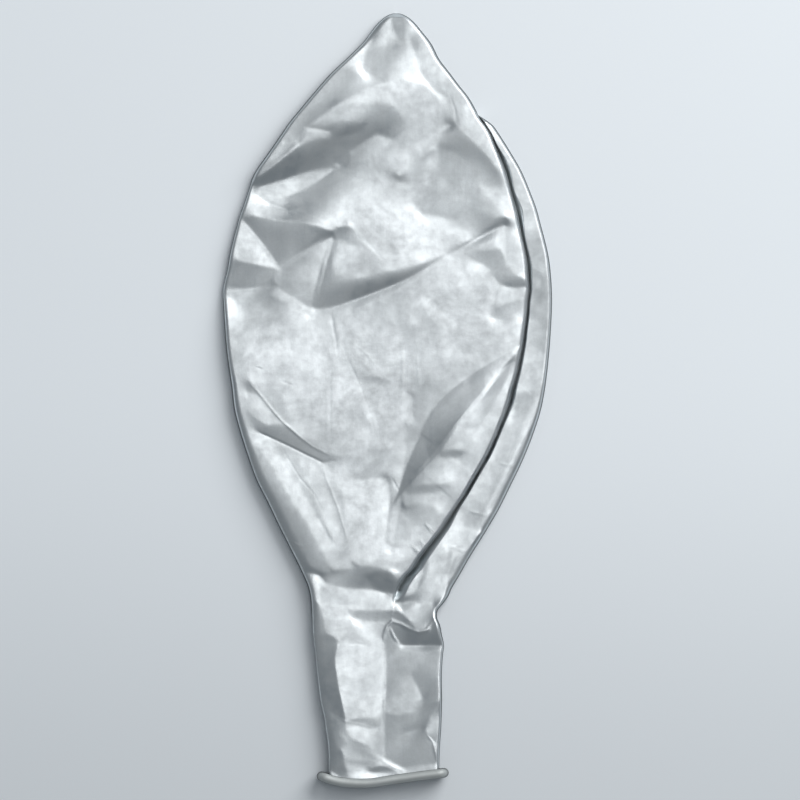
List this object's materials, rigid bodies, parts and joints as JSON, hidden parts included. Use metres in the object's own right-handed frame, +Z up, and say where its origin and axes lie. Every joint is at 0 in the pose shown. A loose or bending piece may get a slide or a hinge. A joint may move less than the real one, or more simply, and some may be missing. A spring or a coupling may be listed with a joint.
{
  "type": "deflated giant latex balloon",
  "caption": "Giant round silver latex balloon, let down and lying flat: folded lobes, side tuck, gathered throat, hollow flat neck and rolled rim bead.",
  "frame": {"origin": "centre of the bounding box on the surface that the balloon lies on", "axes": "+Y towards the crown, the mouth at -Y, +X towards the side where the rear lobe shows, +Z up"},
  "size_m": [0.1701, 0.4, 0.0149],
  "materials": {
    "silver_film": "pearly satin silver latex film",
    "crown_latex": "thick satin silver latex",
    "bead_latex": "rolled satin silver latex"
  },
  "bodies": {
    "root": {"front_lobe": "silver_film", "rear_lobe": "silver_film", "side_gusset": "silver_film", "throat": "silver_film", "neck": "silver_film", "crown_tip": "crown_latex", "rim_bead": "bead_latex"}
  },
  "joints": []
}
